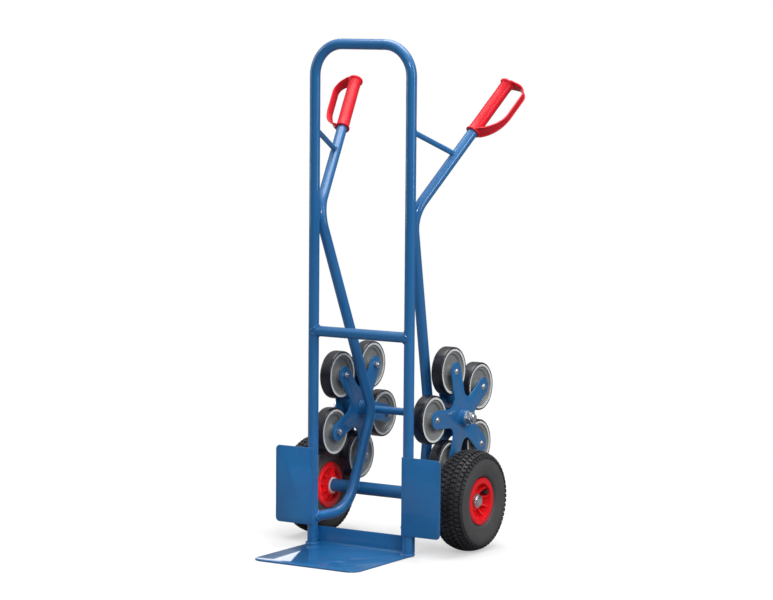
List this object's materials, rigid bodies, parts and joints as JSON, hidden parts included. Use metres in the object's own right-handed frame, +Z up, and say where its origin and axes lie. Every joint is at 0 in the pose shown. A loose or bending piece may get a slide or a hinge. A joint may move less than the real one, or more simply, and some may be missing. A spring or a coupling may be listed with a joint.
{
  "type": "stair-climbing sack truck",
  "caption": "Upright tubular hand truck with a flat load plate, pneumatic wheels, guarded grips, and star rotors of small wheels that climb stairs or carry it tilted back.",
  "frame": {"origin": "on the floor under the centre lines of the two uprights, on the middle plane; it lies on the flat underside of the load plate", "axes": "+Z up along the uprights, +X to the right seen from the load plate side, load plate towards -Y, wheels towards +Y"},
  "size_m": [0.5806, 0.661, 1.3],
  "materials": {
    "blue_paint": "gloss powder coat",
    "zinc": "bright zinc plate",
    "tyre_rubber": "matte black",
    "tube_rubber": "matte black",
    "small_wheel_rubber": "satin dark grey",
    "grey_plastic": "moulded warm grey",
    "red_rim_plastic": "moulded red",
    "red_grip_plastic": "moulded red",
    "white_plastic": "white nylon",
    "black_plastic": "moulded black"
  },
  "bodies": {
    "frame": {"main_frame_tube": "blue_paint", "cross_tube": "blue_paint", "load_plate": "blue_paint", "left_deflector_plate": "blue_paint", "right_deflector_plate": "blue_paint", "left_side_tube": "blue_paint", "right_side_tube": "blue_paint", "left_handle_brace": "blue_paint", "right_handle_brace": "blue_paint", "left_grip": "red_grip_plastic", "right_grip": "red_grip_plastic", "axle_tube": "blue_paint", "axle_sleeves": "white_plastic", "wheel_axle": "zinc", "axle_caps": "zinc", "axle_washers": "zinc", "star_axle": "blue_paint", "star_nuts": "zinc"},
    "left_wheel": {"left_tyre": "tyre_rubber", "left_inner_tube": "tube_rubber", "left_rim": "red_rim_plastic", "left_wheel_bearings": "zinc"},
    "right_wheel": {"right_tyre": "tyre_rubber", "right_inner_tube": "tube_rubber", "right_rim": "red_rim_plastic", "right_wheel_bearings": "zinc"},
    "left_star": {"left_star_inner_plate": "blue_paint", "left_star_outer_plate": "blue_paint", "left_star_hub": "blue_paint", "left_star_bushes": "black_plastic", "left_star_spacers": "zinc", "left_star_bolts": "zinc", "left_star_bolt_nuts": "zinc"},
    "left_star_wheel_1": {"left_star_wheel_1_tread": "small_wheel_rubber", "left_star_wheel_1_rim": "grey_plastic"},
    "left_star_wheel_2": {"left_star_wheel_2_tread": "small_wheel_rubber", "left_star_wheel_2_rim": "grey_plastic"},
    "left_star_wheel_3": {"left_star_wheel_3_tread": "small_wheel_rubber", "left_star_wheel_3_rim": "grey_plastic"},
    "left_star_wheel_4": {"left_star_wheel_4_tread": "small_wheel_rubber", "left_star_wheel_4_rim": "grey_plastic"},
    "left_star_wheel_5": {"left_star_wheel_5_tread": "small_wheel_rubber", "left_star_wheel_5_rim": "grey_plastic"},
    "right_star": {"right_star_inner_plate": "blue_paint", "right_star_outer_plate": "blue_paint", "right_star_hub": "blue_paint", "right_star_bushes": "black_plastic", "right_star_spacers": "zinc", "right_star_bolts": "zinc", "right_star_bolt_nuts": "zinc"},
    "right_star_wheel_1": {"right_star_wheel_1_tread": "small_wheel_rubber", "right_star_wheel_1_rim": "grey_plastic"},
    "right_star_wheel_2": {"right_star_wheel_2_tread": "small_wheel_rubber", "right_star_wheel_2_rim": "grey_plastic"},
    "right_star_wheel_3": {"right_star_wheel_3_tread": "small_wheel_rubber", "right_star_wheel_3_rim": "grey_plastic"},
    "right_star_wheel_4": {"right_star_wheel_4_tread": "small_wheel_rubber", "right_star_wheel_4_rim": "grey_plastic"},
    "right_star_wheel_5": {"right_star_wheel_5_tread": "small_wheel_rubber", "right_star_wheel_5_rim": "grey_plastic"}
  },
  "joints": [
    {"name": "left_wheel_spin", "type": "hinge", "parent": "frame", "child": "left_wheel", "pos_m": [-0.23, 0.1633, 0.13], "axis": [1, 0, 0], "continuous": true},
    {"name": "right_wheel_spin", "type": "hinge", "parent": "frame", "child": "right_wheel", "pos_m": [0.23, 0.1633, 0.13], "axis": [1, 0, 0], "continuous": true},
    {"name": "left_star_spin", "type": "hinge", "parent": "frame", "child": "left_star", "pos_m": [-0.153, 0.21163, 0.333], "axis": [1, 0, 0], "continuous": true},
    {"name": "left_star_wheel_1_spin", "type": "hinge", "parent": "left_star", "child": "left_star_wheel_1", "pos_m": [-0.153, 0.12875, 0.42791], "axis": [1, 0, 0], "continuous": true},
    {"name": "left_star_wheel_2_spin", "type": "hinge", "parent": "left_star", "child": "left_star_wheel_2", "pos_m": [-0.153, 0.27628, 0.44115], "axis": [1, 0, 0], "continuous": true},
    {"name": "left_star_wheel_3_spin", "type": "hinge", "parent": "left_star", "child": "left_star_wheel_3", "pos_m": [-0.153, 0.33446, 0.30493], "axis": [1, 0, 0], "continuous": true},
    {"name": "left_star_wheel_4_spin", "type": "hinge", "parent": "left_star", "child": "left_star_wheel_4", "pos_m": [-0.153, 0.22289, 0.2075], "axis": [1, 0, 0], "continuous": true},
    {"name": "left_star_wheel_5_spin", "type": "hinge", "parent": "left_star", "child": "left_star_wheel_5", "pos_m": [-0.153, 0.09575, 0.2835], "axis": [1, 0, 0], "continuous": true},
    {"name": "right_star_spin", "type": "hinge", "parent": "frame", "child": "right_star", "pos_m": [0.153, 0.21163, 0.333], "axis": [1, 0, 0], "continuous": true},
    {"name": "right_star_wheel_1_spin", "type": "hinge", "parent": "right_star", "child": "right_star_wheel_1", "pos_m": [0.153, 0.31724, 0.40172], "axis": [1, 0, 0], "continuous": true},
    {"name": "right_star_wheel_2_spin", "type": "hinge", "parent": "right_star", "child": "right_star_wheel_2", "pos_m": [0.153, 0.17891, 0.45468], "axis": [1, 0, 0], "continuous": true},
    {"name": "right_star_wheel_3_spin", "type": "hinge", "parent": "right_star", "child": "right_star_wheel_3", "pos_m": [0.153, 0.08579, 0.33948], "axis": [1, 0, 0], "continuous": true},
    {"name": "right_star_wheel_4_spin", "type": "hinge", "parent": "right_star", "child": "right_star_wheel_4", "pos_m": [0.153, 0.16657, 0.21533], "axis": [1, 0, 0], "continuous": true},
    {"name": "right_star_wheel_5_spin", "type": "hinge", "parent": "right_star", "child": "right_star_wheel_5", "pos_m": [0.153, 0.30962, 0.25379], "axis": [1, 0, 0], "continuous": true}
  ]
}
